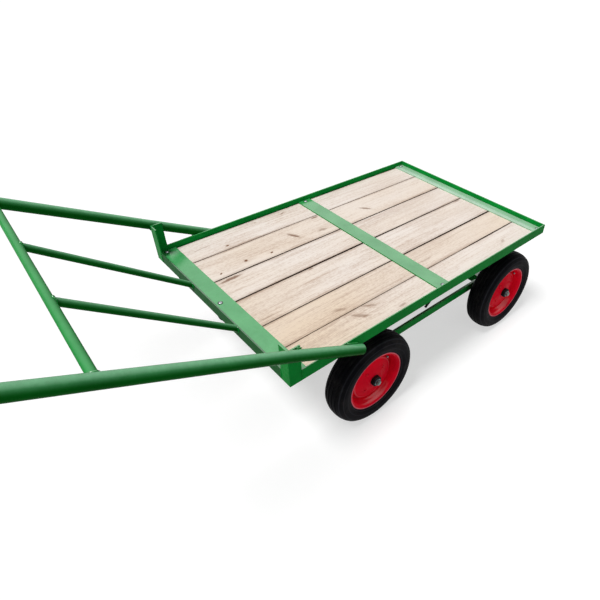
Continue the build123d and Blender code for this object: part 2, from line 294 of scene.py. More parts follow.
class Graph:
    """Short calls that add and join shader nodes in one tree."""

    def __init__(self, tree):
        self.tree = tree

    def node(self, kind, settings=None, **inputs):
        made = self.tree.nodes.new(f"ShaderNode{kind}")
        for key, value in (settings or {}).items():
            setattr(made, key, value)
        self.fill(made.inputs, **inputs)
        return made

    def put(self, socket, value):
        if isinstance(value, bpy.types.NodeSocket):
            self.tree.links.new(value, socket)
        elif socket.type == "RGBA" and len(value) == 3:
            socket.default_value = (*value, 1.0)
        else:
            socket.default_value = value

    def fill(self, sockets, **values):
        for key, value in values.items():
            self.put(sockets[key.replace("_", " ")], value)

    def operate(self, kind, settings, values):
        made = self.node(kind, settings)
        for socket, value in zip(made.inputs, values):
            self.put(socket, value)
        return made.outputs

    def math(self, operation, *values, clamp=False):
        return self.operate("Math", {"operation": operation, "use_clamp": clamp}, values)[0]

    def times(self, *values, clamp=False):
        return self.math("MULTIPLY", *values, clamp=clamp)

    def plus(self, *values, clamp=False):
        return self.math("ADD", *values, clamp=clamp)

    def vector(self, operation, *values):
        outputs = self.operate("VectorMath", {"operation": operation}, values)
        return outputs["Value" if operation in ("DOT_PRODUCT", "LENGTH") else "Vector"]

    def scale(self, vector, share):
        return self.node("VectorMath", {"operation": "SCALE"}, Vector=vector, Scale=share).outputs[0]

    def mix(self, share, first, second):
        made = self.node("Mix", {"data_type": "RGBA"})
        for index, value in ((0, share), (6, first), (7, second)):
            self.put(made.inputs[index], value)
        return made.outputs[2]

    def remap(self, value, low, high, to_low=0.0, to_high=1.0, smooth=False):
        kind = "SMOOTHSTEP" if smooth else "LINEAR"
        made = self.node("MapRange", {"interpolation_type": kind, "clamp": True}, Value=value, From_Min=low,
                         From_Max=high, To_Min=to_low, To_Max=to_high)
        return made.outputs[0]

    def place(self):
        """Where the surface is, in the object's own frame."""
        return self.node("TexCoord").outputs["Object"]

    def edge_mask(self):
        """The mask that the mesh code leaves on edges."""
        return self.node("Attribute", {"attribute_name": "edge"}).outputs["Fac"]

    def noise(self, vector, stretch, detail=2.0, rough=0.5):
        """Noise whose grain has these counts in each metre along X, Y and Z."""
        scaled = self.node("Mapping", Vector=vector, Scale=stretch).outputs[0]
        made = self.node("TexNoise", Vector=scaled, Scale=1.0, Detail=detail, Roughness=rough)
        return made.outputs[0]


def node_group(name, inputs, outputs):
    """A new shader group with sockets of these kinds and names, as (graph, inputs, outputs)."""
    tree = bpy.data.node_groups.new(name, "ShaderNodeTree")
    for way, sockets in (("INPUT", inputs), ("OUTPUT", outputs)):
        for kind, labels in sockets.items():
            for label in labels.split():
                tree.interface.new_socket(label, in_out=way, socket_type=f"NodeSocket{kind}")
    given, out = tree.nodes.new("NodeGroupInput"), tree.nodes.new("NodeGroupOutput")
    return Graph(tree), given.outputs, out.inputs


SURFACE = {"Color": "Color", "Float": "Roughness Height"}


def enamel_group():
    """Brushed enamel: uneven film, thin edges lightened partly as abraded paint and partly as painted
    highlight, chips, rounded edges, upward faces mixed towards pale green as painted highlight, and a mask of
    what faces up.
    """
    graph, given, out = node_group(
        "Enamel film", {"Color": "Paint Edge", "Float": "Chips Gloss Dust"},
        {"Color": "Color", "Float": "Roughness Level", "Vector": "Normal"})
    place = graph.place()
    facing = graph.node("NewGeometry")
    softened = graph.node("Bevel", {"samples": 4}, Radius=1.6 * MM).outputs[0]
    film = graph.noise(place, (9, 9, 9), 4.0, 0.6)
    spots = graph.noise(place, (70, 70, 70), 5.0, 0.65)
    peel = graph.noise(place, (330, 330, 330), 2.0)
    edge = graph.remap(graph.vector("DOT_PRODUCT", softened, facing.outputs["Normal"]), 0.985, 0.80)
    ring_highlight = graph.edge_mask()
    # Edges are lightened towards the edge colour: partly abraded paint, partly a painted highlight along them;
    # the mesh's edge mask adds the rims' painted highlight rings
    thin_edge_and_highlight = graph.times(edge, graph.remap(spots, 0.36, 0.58, 0.0, 0.6))
    ring_highlight = graph.times(ring_highlight, graph.remap(spots, 0.30, 0.58, 0.55, 1.0))
    thin_edge_and_highlight = graph.math("MAXIMUM", thin_edge_and_highlight, ring_highlight)
    chip_level = graph.math("SUBTRACT", 0.93, graph.times(edge, 0.17))
    chip = graph.plus(spots, graph.times(film, 0.18))
    chip = graph.math("GREATER_THAN", chip, chip_level)
    chip = graph.times(chip, given["Chips"], clamp=True)
    upward = graph.node("SeparateXYZ", Vector=facing.outputs["Normal"]).outputs["Z"]
    level = graph.remap(film, 0.25, 0.75, 0.72, 1.0)
    level = graph.times(graph.remap(upward, 0.60, 1.0), level)
    # Painted highlight: faces that point up are mixed towards a pale green, more the more level they are, by
    # the share that the finish gives
    painted_top_highlight = graph.math("POWER", graph.remap(upward, 0.05, 1.0), 2.4)
    dust = graph.times(given["Dust"], graph.remap(spots, 0.3, 0.7, 0.8, 1.1))
    painted_top_highlight = graph.times(painted_top_highlight, dust)
    tint = graph.scale(given["Paint"], graph.remap(film, 0.3, 0.72, 0.82, 1.14))
    tint = graph.mix(painted_top_highlight, tint, (0.28, 0.90, 0.45))
    tint = graph.mix(thin_edge_and_highlight, tint, given["Edge"])
    tint = graph.mix(chip, tint, (0.10, 0.085, 0.07))
    rough = graph.plus(given["Gloss"], graph.remap(spots, 0.3, 0.7, -0.04, 0.10))
    height = graph.math("SUBTRACT", peel, graph.times(chip, 1.5))
    bump = graph.node("Bump", Strength=0.10, Distance=0.4 * MM, Height=height, Normal=softened)
    graph.fill(out, Color=tint, Roughness=rough, Normal=bump.outputs[0], Level=level)
    return graph.tree


def knot_group():
    """A knot: a dark oval with a soft ring, at a place and turn on the board."""
    graph, given, out = node_group(
        "Knot", {"Vector": "Centre Size", "Float": "Turn"}, {"Float": "Core Swirl"})
    place = graph.place()
    wander = graph.node("TexNoise", Vector=place, Scale=60.0, Detail=2.0).outputs["Color"]
    wander = graph.vector("MULTIPLY_ADD", wander, (9 * MM, 9 * MM, 0), (-4.5 * MM, -4.5 * MM, 0))
    moved = graph.vector("ADD", graph.vector("SUBTRACT", place, given["Centre"]), wander)
    turned = graph.node(
        "VectorRotate", {"rotation_type": "Z_AXIS"}, Vector=moved, Angle=given["Turn"])
    flat = graph.vector("MULTIPLY", graph.vector("DIVIDE", turned.outputs[0], given["Size"]), (1, 1, 0))
    reach = graph.vector("LENGTH", flat)
    core, swirl = (graph.remap(reach, *ends, smooth=True) for ends in ((1.15, 0.45), (3.2, 0.6)))
    graph.fill(out, Core=core, Swirl=swirl)
    return graph.tree


def board_group():
    """Sawn softwood: rings, streaks, fibres, saw marks, stained edges, and wood darker towards the edges."""
    graph, given, out = node_group(
        "Sawn board",
        {"Float": "Seed Warmth Front Knot Swirl Edge", "Color": "Pale Warm Dark Stain Seam"}, SURFACE)
    place = graph.place()
    along = graph.node("SeparateXYZ", Vector=place).outputs["X"]
    shift = graph.node("CombineXYZ", X=given["Seed"], Y=given["Seed"], Z=given["Seed"]).outputs[0]
    place = graph.vector("ADD", place, shift)
    patch = graph.noise(place, (1.6, 13, 13), 3.0, 0.55)
    grain = graph.noise(place, (4.5, 230, 230), 2.0, 0.5)
    mottle = graph.noise(place, (90, 190, 190), 3.0, 0.75)
    bleach = graph.noise(place, (5, 30, 30), 3.0, 0.6)
    broad = graph.noise(place, (2.2, 5, 5), 2.0)
    streak = graph.noise(place, (3.5, 75, 75), 4.0, 0.6)
    fibre = graph.noise(place, (22, 620, 620), 2.0, 0.6)
    warp = graph.noise(place, (1.1, 7, 7), 2.0, 0.45)
    across = graph.node("SeparateXYZ", Vector=place).outputs["Y"]
    ring = graph.times(across, 52.0)
    for source, share in ((warp, 7.5), (given["Swirl"], 1.3), (streak, 0.35)):
        ring = graph.plus(ring, graph.times(source, share))
    ring = graph.math("POWER", graph.math("PINGPONG", ring, 0.5), 2.2)
    ring = graph.times(ring, 4.2, clamp=True)
    ring = graph.times(ring, graph.remap(patch, 0.32, 0.66, 0.15, 1.0))
    saw = graph.node("TexWave", {"wave_type": "BANDS", "bands_direction": "X"}, Vector=place,
                     Scale=52.0, Distortion=1.2, Detail=1.0, Detail_Scale=6.0).outputs[1]
    saw = graph.times(saw, graph.remap(broad, 0.40, 0.62))
    tone = graph.times(ring, 0.26)
    for source, low, high, least, most in (
            (patch, 0.42, 0.72, 0.0, 0.26), (streak, 0.56, 0.74, 0.0, 0.30), (fibre, 0.40, 0.75, -0.05, 0.16),
            (grain, 0.52, 0.66, 0.0, 0.30), (mottle, 0.36, 0.68, -0.20, 0.28),
            (bleach, 0.48, 0.66, 0.0, -0.26)):
        tone = graph.plus(tone, graph.remap(source, low, high, least, most))
    tone = graph.plus(tone, graph.times(saw, 0.20))
    tone = graph.plus(tone, graph.times(given["Swirl"], 0.16), clamp=True)
    tone = graph.times(tone, graph.remap(along, MIDDLE_X - 0.50, MIDDLE_X + 0.05, 0.62, 1.0))
    front = graph.remap(along, MIDDLE_X + 0.05, MIDDLE_X + 0.62, smooth=True)
    front = graph.times(given["Front"], front)
    warmth = graph.plus(given["Warmth"], graph.remap(broad, 0.3, 0.7, -0.25, 0.25))
    warmth = graph.plus(warmth, front, clamp=True)
    tint = graph.mix(warmth, given["Pale"], given["Warm"])
    tint = graph.mix(tone, tint, given["Dark"])
    tint = graph.mix(given["Knot"], tint, given["Stain"])
    grime = graph.times(given["Edge"], graph.remap(streak, 0.38, 0.62, 0.25, 1.0))
    tint = graph.mix(graph.times(grime, 0.75), tint, given["Stain"])
    # Darker towards the board edges, in patches
    edge_darkening = graph.math("POWER", given["Edge"], 0.28)
    edge_darkening = graph.times(edge_darkening, graph.remap(bleach, 0.47, 0.33))
    tint = graph.mix(graph.times(edge_darkening, 0.55), tint, given["Dark"])
    tint = graph.mix(graph.remap(given["Edge"], 0.88, 0.98, 0.0, 0.92), tint, given["Seam"])
    level = graph.times(fibre, 0.5)
    for source, share in ((saw, 0.45), (mottle, 0.8), (ring, -0.35)):
        level = graph.plus(level, graph.times(source, share))
    graph.fill(out, Color=tint, Roughness=graph.remap(tone, 0.0, 0.8, 0.72, 0.60), Height=level)
    return graph.tree


def rubber_group():
    """Moulded rubber: bloom, scuffs and road dust, with painted highlight on the rings that the mesh marks."""
    graph, given, out = node_group("Moulded rubber", {"Color": "Rubber", "Float": "Dust"}, SURFACE)
    place = graph.place()
    bloom = graph.noise(place, (14, 14, 14), 4.0, 0.6)
    grit = graph.noise(place, (420, 420, 420), 3.0, 0.6)
    scuff = graph.noise(place, (45, 120, 45), 4.0, 0.65)
    dust = graph.times(graph.remap(bloom, 0.42, 0.72), graph.remap(scuff, 0.36, 0.70))
    dust = graph.times(dust, given["Dust"])
    tint = graph.mix(dust, given["Rubber"], (0.17, 0.155, 0.14))
    # Painted highlight: the marked rings on the wall and tread are lightened to a bluish grey
    ring_highlight = graph.edge_mask()
    ring_highlight = graph.times(ring_highlight, graph.remap(bloom, 0.3, 0.7, 0.35, 1.0))
    tint = graph.mix(ring_highlight, tint, (0.045, 0.046, 0.056))
    rough = graph.plus(graph.remap(bloom, 0.3, 0.7, 0.44, 0.60), graph.times(dust, 0.3))
    graph.fill(out, Color=tint, Roughness=rough, Height=graph.plus(grit, graph.times(scuff, 0.6)))
    return graph.tree


def plating_group():
    """Zinc plating: clouded grey with fine turning lines and dull spots."""
    graph, given, out = node_group("Zinc plating", {"Color": "Metal"}, SURFACE)
    place = graph.place()
    cloud = graph.noise(place, (160, 160, 160), 4.0, 0.65)
    lines = graph.noise(place, (900, 900, 1800), 2.0)
    tint = graph.scale(given["Metal"], graph.remap(cloud, 0.3, 0.7, 0.72, 1.05))
    tint = graph.mix(graph.remap(cloud, 0.60, 0.74, 0.0, 0.5), tint, (0.20, 0.16, 0.12))
    graph.fill(out, Color=tint, Roughness=graph.remap(cloud, 0.3, 0.7, 0.28, 0.46), Height=lines)
    return graph.tree


def once(name, make):
    """A shared group, made the first time that it is asked for."""
    return bpy.data.node_groups.get(name) or make()


def new_material(name, **settings):
    """A material with only a Principled shader that has these settings, as (material, graph, shader)."""
    made = bpy.data.materials.new(name)
    made.use_nodes = True
    graph = Graph(made.node_tree)
    made.node_tree.nodes.clear()
    shader = graph.node("BsdfPrincipled", **settings)
    graph.node("OutputMaterial", Surface=shader.outputs[0])
    return made, graph, shader


def enamel(name, colours):
    """A painted finish, with a smooth coat where it has flowed level."""
    if name in bpy.data.materials:
        return bpy.data.materials[name]
    # dust is the share of the pale green painted highlight on upward faces
    paint, edge, chips, coat, gloss, dust = FINISHES[name]
    made, graph, shader = new_material(name, Coat_IOR=2.8, Coat_Roughness=0.22, Specular_IOR_Level=0.01)
    film = graph.node(
        "Group", {"node_tree": once("Enamel film", enamel_group)}, Paint=getattr(colours, paint),
        Edge=getattr(colours, edge), Chips=chips, Gloss=gloss, Dust=dust)
    given = film.outputs
    graph.fill(shader.inputs, Base_Color=given["Color"], Roughness=given["Roughness"], Normal=given["Normal"],
               Coat_Weight=graph.times(given["Level"], coat, clamp=True))
    return made


def bumped(graph, shader, film, strength, distance):
    """Join a group's colour, roughness and height to the shader."""
    given = film.outputs
    bump = graph.node("Bump", Strength=strength, Distance=distance, Height=given["Height"]).outputs[0]
    graph.fill(shader.inputs, Base_Color=given["Color"], Roughness=given["Roughness"], Normal=bump)


def tyre_rubber(colours):
    """The tyres' rubber."""
    made, graph, shader = new_material("tyre_rubber", Specular_IOR_Level=0.015)
    film = graph.node("Group", {"node_tree": once("Moulded rubber", rubber_group)},
                      Rubber=colours.rubber, Dust=0.16)
    bumped(graph, shader, film, 0.25, 0.4 * MM)
    return made


def plated(name, metal):
    """The metal of a bolt or a nut."""
    if name in bpy.data.materials:
        return bpy.data.materials[name]
    made, graph, shader = new_material(name, Metallic=1.0, Specular_IOR_Level=0.015)
    film = graph.node("Group", {"node_tree": once("Zinc plating", plating_group)}, Metal=metal)
    bumped(graph, shader, film, 0.12, 0.1 * MM)
    return made


def board_wood(colours, number):
    """Each board's own wood, with its knots."""
    made, graph, shader = new_material(f"board_wood_{number}", Specular_IOR_Level=0.08)
    core, swirl = 0.0, 0.0
    for x, y, long, wide, turn, dark in KNOTS[number]:
        knot = graph.node(
            "Group", {"node_tree": once("Knot", knot_group)}, Centre=(MIDDLE_X + x * MM, y * MM, 0),
            Size=(long * MM, wide * MM, 1), Turn=math.radians(-turn))
        core = graph.math("MAXIMUM", core, graph.times(knot.outputs["Core"], dark))
        swirl = graph.math("MAXIMUM", swirl, knot.outputs["Swirl"])
    edge = graph.edge_mask()
    wood = graph.node(
        "Group", {"node_tree": once("Sawn board", board_group)}, Seed=number * 1.713,
        Warmth=BOARD_WARMTH[number], Front=BOARD_FRONT[number], Knot=core, Swirl=swirl, Edge=edge,
        Pale=colours.wood_pale, Warm=colours.wood_warm, Dark=colours.wood_dark, Stain=colours.knot,
        Seam=colours.seam)
    bumped(graph, shader, wood, 0.5, 0.6 * MM)
    return made


# Mesh code

def place_on(origin, way):
    """The matrix that puts Z along a direction at a point."""
    return Matrix.Translation(origin) @ Vector(way).to_track_quat("Z", "Y").to_matrix().to_4x4()


def add_object(name, data):
    """A new object in the scene."""
    made = bpy.data.objects.new(name, data)
    bpy.context.scene.collection.objects.link(made)
    return made


def finish_piece(bm, name, material, body, replaces=(), sharp=32.0):
    """Turn the built mesh into a piece that rides on a body."""
    bmesh.ops.remove_doubles(bm, verts=bm.verts, dist=0.002 * MM)
    bmesh.ops.recalc_face_normals(bm, faces=bm.faces)
    mesh = bpy.data.meshes.new(name)
    bm.to_mesh(mesh)
    bm.free()
    mesh.polygons.foreach_set("use_smooth", [True] * len(mesh.polygons))
    mesh.set_sharp_from_angle(angle=math.radians(sharp))
    mesh.materials.append(material)
    piece = add_object(name, mesh)
    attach(piece, body)
    if replaces:
        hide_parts(*replaces)


def skin(bm, rings, closed_ring=True, closed_run=False):
    """Join rings of points with faces, one ring to the next."""
    made = [[bm.verts.new(p) for p in ring] for ring in rings]
    for i in range(len(made) if closed_run else len(made) - 1):
        a, b = made[i], made[(i + 1) % len(made)]
        for j in range(len(a) if closed_ring else len(a) - 1):
            k = (j + 1) % len(a)
            bm.faces.new((a[j], b[j], b[k], a[k]))
    return made


def lathe(bm, profile, place, segments=48, closed=True, highlight_rings=None):
    """Turn a profile of (radius, height) about a place's Z axis; the last argument is a mask for the profile's
    points, which paints highlight rings.
    """
    layer = bm.verts.layers.float.get("edge") or bm.verts.layers.float.new("edge")
    turns = [2 * math.pi * i / segments for i in range(segments)]
    rings = [[place @ Vector((r * math.cos(a), r * math.sin(a), h)) for r, h in profile] for a in turns]
    for ring in skin(bm, rings, closed_ring=closed, closed_run=True):
        for vert, value in zip(ring, highlight_rings or ()):
            vert[layer] = value


def in_mm(points):
    """A section given in millimetres, in metres."""
    return [(r * MM, h * MM) for r, h in points]


def rounded(points, times=2):
    """Cut the corners of an open line so that it bends smoothly."""
    for _ in range(times):
        cut = [points[0]]
        for (ax, ay), (bx, by) in zip(points, points[1:]):
            cut += [(a * ax + b * bx, a * ay + b * by) for a, b in ((0.75, 0.25), (0.25, 0.75))]
        points = cut + [points[-1]]
    return points


def sheet_outline(points, thick):
    """The closed outline of a sheet that follows a middle line."""
    left, right = [], []
    for i, (x, y) in enumerate(points):
        ax, ay = points[max(i - 1, 0)]
        bx, by = points[min(i + 1, len(points) - 1)]
        run = math.hypot(bx - ax, by - ay)
        nx, ny = -(by - ay) / run * thick / 2, (bx - ax) / run * thick / 2
        left.append((x + nx, y + ny))
        right.append((x - nx, y - ny))
    return left + right[::-1]


def hexagon(bm, place, flats, height, hole, segments=72):
    """A nut or bolt head with chamfered corners; a hole of no radius leaves it solid."""
    rings = []
    chamfer = flats * 0.515
    for i in range(segments):
        a = 2 * math.pi * i / segments
        across = flats / 2 / math.cos((a + math.pi / 6) % (math.pi / 3) - math.pi / 6)
        low = min(across, chamfer)
        section = [(hole, 0), (low, 0), (across, 0.1 * height), (across, 0.86 * height), (low, height),
                   (hole, height)]
        rings.append([place @ Vector((r * math.cos(a), r * math.sin(a), h)) for r, h in section])
    skin(bm, rings, closed_ring=hole > 0, closed_run=True)


def threaded(bm, place, radius, height, pitch=1.25 * MM, segments=24):
    """The threaded end of a bolt, with a chamfered tip."""
    profile, h = [(0, 0)], 0.0
    while h < height - pitch:
        profile += [(radius, h), (radius, h + 0.35 * pitch), (radius * 0.87, h + 0.7 * pitch)]
        h += pitch
    profile += [(radius, h), (radius * 0.8, height), (0, height)]
    lathe(bm, profile, place, segments, closed=False)


def bead(bm, path, radius, closed=False, sides=10):
    """A rippled weld bead along a line."""
    points = [Vector(p) for p in path]
    if closed:
        points.append(points[0])
    spans = [(b - a).length for a, b in zip(points, points[1:])]
    total = sum(spans)
    count = max(8, round(total / (0.55 * radius)))
    rings, gone, index = [], 0.0, 0
    for i in range(count if closed else count + 1):
        at = total * i / count
        while index < len(spans) - 1 and gone + spans[index] < at:
            gone += spans[index]
            index += 1
        a, b = points[index], points[index + 1]
        centre = a.lerp(b, min(1.0, (at - gone) / spans[index]))
        way = (b - a).normalized()
        side = way.orthogonal().normalized()
        upright = way.cross(side)
        ripple = 0.86 + 0.14 * abs(math.sin(math.pi * at / (1.5 * radius)))
        swell = ripple * (1 + 0.14 * noise.noise(centre * 190))
        if not closed:
            swell *= min(1.0, 0.45 + min(i, count - i) * 0.22)
        turn = [2 * math.pi * k / sides for k in range(sides)]
        rings.append([centre + (side * math.cos(t) + upright * math.sin(t)) * radius * swell for t in turn])
    made = skin(bm, rings, closed_run=closed)
    if not closed:
        bm.faces.new(made[0])
        bm.faces.new(made[-1])


def line(start, end, count):
    """Points from one place to another."""
    return [Vector(start).lerp(Vector(end), i / (count - 1)) for i in range(count)]


def saddle(centre, way, radius, target, target_way, target_radius, side, count=48):
    """The closed line where a round bar meets a round tube, from the bar's side."""
    way, target_way = Vector(way).normalized(), Vector(target_way).normalized()
    first = way.orthogonal().normalized()
    second = way.cross(first)
    path = []
    for i in range(count):
        a = 2 * math.pi * i / count
        start = Vector(centre) + (first * math.cos(a) + second * math.sin(a)) * radius
        gap = start - Vector(target)
        flat_gap = gap - target_way * gap.dot(target_way)
        flat_way = way - target_way * way.dot(target_way)
        p = flat_way.dot(flat_gap) / flat_way.length_squared
        q = flat_gap.length_squared - target_radius ** 2
        root = max(0.0, p * p - q / flat_way.length_squared)
        path.append(start + way * (-p + side * math.sqrt(root)))
    return path


def shaft_point(x, side, up=0.0, out=0.0):
    """A point by a shaft's middle line: at a place along the cart, square up from it and out from it."""
    along = (x - SHAFT_FOOT.x) / SHAFT_WAY.x
    square = Vector((-SHAFT_WAY.z, 0, SHAFT_WAY.x))
    return SHAFT_FOOT + SHAFT_WAY * along + square * up + Vector((0, side * (SHAFT_Y + out), 0))


class CART_OT_enamel(bpy.types.Operator):
    """Paint the tray, the shafts and the under-frame green"""
    bl_idname = "cart.enamel"
    bl_label = "Enamel the frame"
    bl_options = {"REGISTER", "UNDO"}

    def execute(self, context):
        slots = {part["node"]: part["material_slot"] for part in frame["record"]["subparts"]}
        for name, node in frame["nodes"].items():
            if slots[name] == "green_paint":
                finish = enamel(GREEN_PIECES.get(name, "green_enamel"), context.scene.cart_colours)
                node.data.materials.clear()
                node.data.materials.append(finish)
        return {"FINISHED"}


class CART_OT_boards(bpy.types.Operator):
    """Lay the six sawn boards, with edges that wander and knots of their own"""
    bl_idname = "cart.boards"
    bl_label = "Lay the boards"
    bl_options = {"REGISTER", "UNDO"}

    def execute(self, context):
        scene = context.scene
        for number in KNOTS:
            self.board(number, board_wood(scene.cart_colours, number), scene.cart_sizes.edge_wander)
        return {"FINISHED"}

    def spread(self, seam, x):
        """How far a board grows into a seam that is narrower or wider than the planks' gap."""
        marks = SEAMS.get(seam)
        if not marks:
            return 0.0
        at = (x - MIDDLE_X) / MM
        for (a, wide_a), (b, wide_b) in zip(marks, marks[1:]):
            if at <= b:
                break
        share = min(1.0, max(0.0, (at - a) / (b - a)))
        return (SEAM - wide_a - (wide_b - wide_a) * share) / 2 * MM

    def board(self, number, wood, wander):
        low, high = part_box(f"plank_{number}")
        bm = bmesh.new()
        rings, masks = [], []
        steps, lanes, round_off = 124, 14, 1.6 * MM
        for i in range(steps + 1):
            x = low.x + (high.x - low.x) * i / steps
            stray = [
                wander * (0.5 + 0.5 * noise.noise(Vector((x * 2.3, number * 7.7 + k * 3.3, 0))))
                + 0.25 * MM * (1 + noise.noise(Vector((x * 34, number * 5.1 + k * 2.9, 4))))
                for k in (0, 1)]
            left = low.y + stray[0] - self.spread(number - 1, x)
            right = high.y - stray[1] + self.spread(number, x)
            end = min(x - low.x, high.x - x)
            droop = 0.9 * MM * max(0.0, 1 - end / (3 * MM))
            section = [(left, low.z), (left, high.z - round_off - droop)]
            section += [(left + 0.3 * round_off, high.z - 0.3 * round_off - droop)]
            for j in range(lanes + 1):
                y = left + round_off + (right - left - 2 * round_off) * j / lanes
                rough = 0.25 * MM * (1 + noise.noise(Vector((x * 9, y * 30, number * 3.7))))
                section.append((y, high.z - rough - droop))
            section += [(right - 0.3 * round_off, high.z - 0.3 * round_off - droop)]
            section += [(right, high.z - round_off - droop), (right, low.z)]
            rings.append([Vector((x, y, z)) for y, z in section])
            masks.append([max(math.exp(-min(y - left, right - y) / (3.0 * MM)), math.exp(-end / (2.5 * MM)))
                          for y, z in section])
        layer = bm.verts.layers.float.new("edge")
        made = skin(bm, rings)
        for ring, row in zip(made, masks):
            for vert, value in zip(ring, row):
                vert[layer] = value
        bm.faces.new(made[0])
        bm.faces.new(made[-1])
        finish_piece(bm, f"board_{number}", wood, "cart", [f"plank_{number}"], sharp=50)


class CART_OT_strap_bolts(bpy.types.Operator):
    """Set the round-headed bolts in the straps, with their nuts below the rails"""
    bl_idname = "cart.strap_bolts"
    bl_label = "Bolt the straps"
    bl_options = {"REGISTER", "UNDO"}

    def execute(self, context):
        colours, sizes = context.scene.cart_colours, context.scene.cart_sizes
        heads, washers, tails = bmesh.new(), bmesh.new(), bmesh.new()
        front_x, rear_x = FRONT_X - BOLT_FRONT_IN, REAR_X + BOLT_REAR_IN
        low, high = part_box("strap_mid")
        mid_x = (low.x + high.x) / 2
        spots = [(front_x, -BOLT_Y), (front_x, BOLT_MIDDLE_Y), (front_x, BOLT_Y),
                 (mid_x, -BOLT_Y), (mid_x, BOLT_Y), (rear_x, -BOLT_Y), (rear_x, BOLT_Y)]
        # Painted shade: a thin black washer round each head stands for the shade at its rim
        washer = [(0, 0.5 * MM), (BOLT_SHADE_WASHER, 0.5 * MM), (BOLT_SHADE_WASHER, -0.2 * MM)]
        for x, y in spots:
            self.head(heads, Vector((x, y, STRAP_TOP)), sizes.bolt_head)
            lathe(washers, washer, Matrix.Translation((x, y, STRAP_TOP)), 32, closed=False)
            self.nut(tails, Vector((x, y, TRAY_Z)), sizes.bolt_thread, TAIL_REACH)
        for side in SIDES.values():
            for x, reach in TAILS:
                root = (MIDDLE_X + x, side * TAIL_Y, TRAY_Z + 1 * MM)
                threaded(tails, place_on(root, TAIL_WAY), TAIL_RADIUS, reach)
        for y in RAIL_NUTS_Y:
            place = Vector((FRONT_X - RAIL_NUTS_IN, y, TRAY_Z))
            self.nut(tails, place, 1.5 * sizes.bolt_thread, RAIL_NUTS_REACH)
        black = enamel("black_enamel", colours)
        finish_piece(heads, "strap_bolt_heads", plated("zinc_plate", colours.zinc), "cart")
        finish_piece(washers, "strap_bolt_shade_washers", black, "cart")
        finish_piece(tails, "strap_bolt_nuts", black, "cart")
        return {"FINISHED"}

    def head(self, bm, place, r):
        tall, base = 0.42 * r, 0.3 * MM
        turns = [math.radians(a) for a in range(0, 90, 11)]
        dome = [(r * math.cos(a), tall * math.sin(a) + base) for a in turns]
        outline = [(r * 0.98, -0.2 * MM), *dome, (0, tall + base)]
        lathe(bm, outline, Matrix.Translation(place), 32, closed=False)

    def nut(self, bm, place, thread, reach):
        flats, height, wide = 3.25 * thread, 1.6 * thread, 2.1 * thread
        spot = place_on(place, (0, 0, -1))
        lathe(bm, [(thread, 0), (wide, 0), (wide, NUT_WASHER), (thread, NUT_WASHER)], spot, 28)
        hexagon(bm, spot @ Matrix.Translation((0, 0, NUT_WASHER)), flats, height, thread, 36)
        threaded(bm, spot, thread, reach)


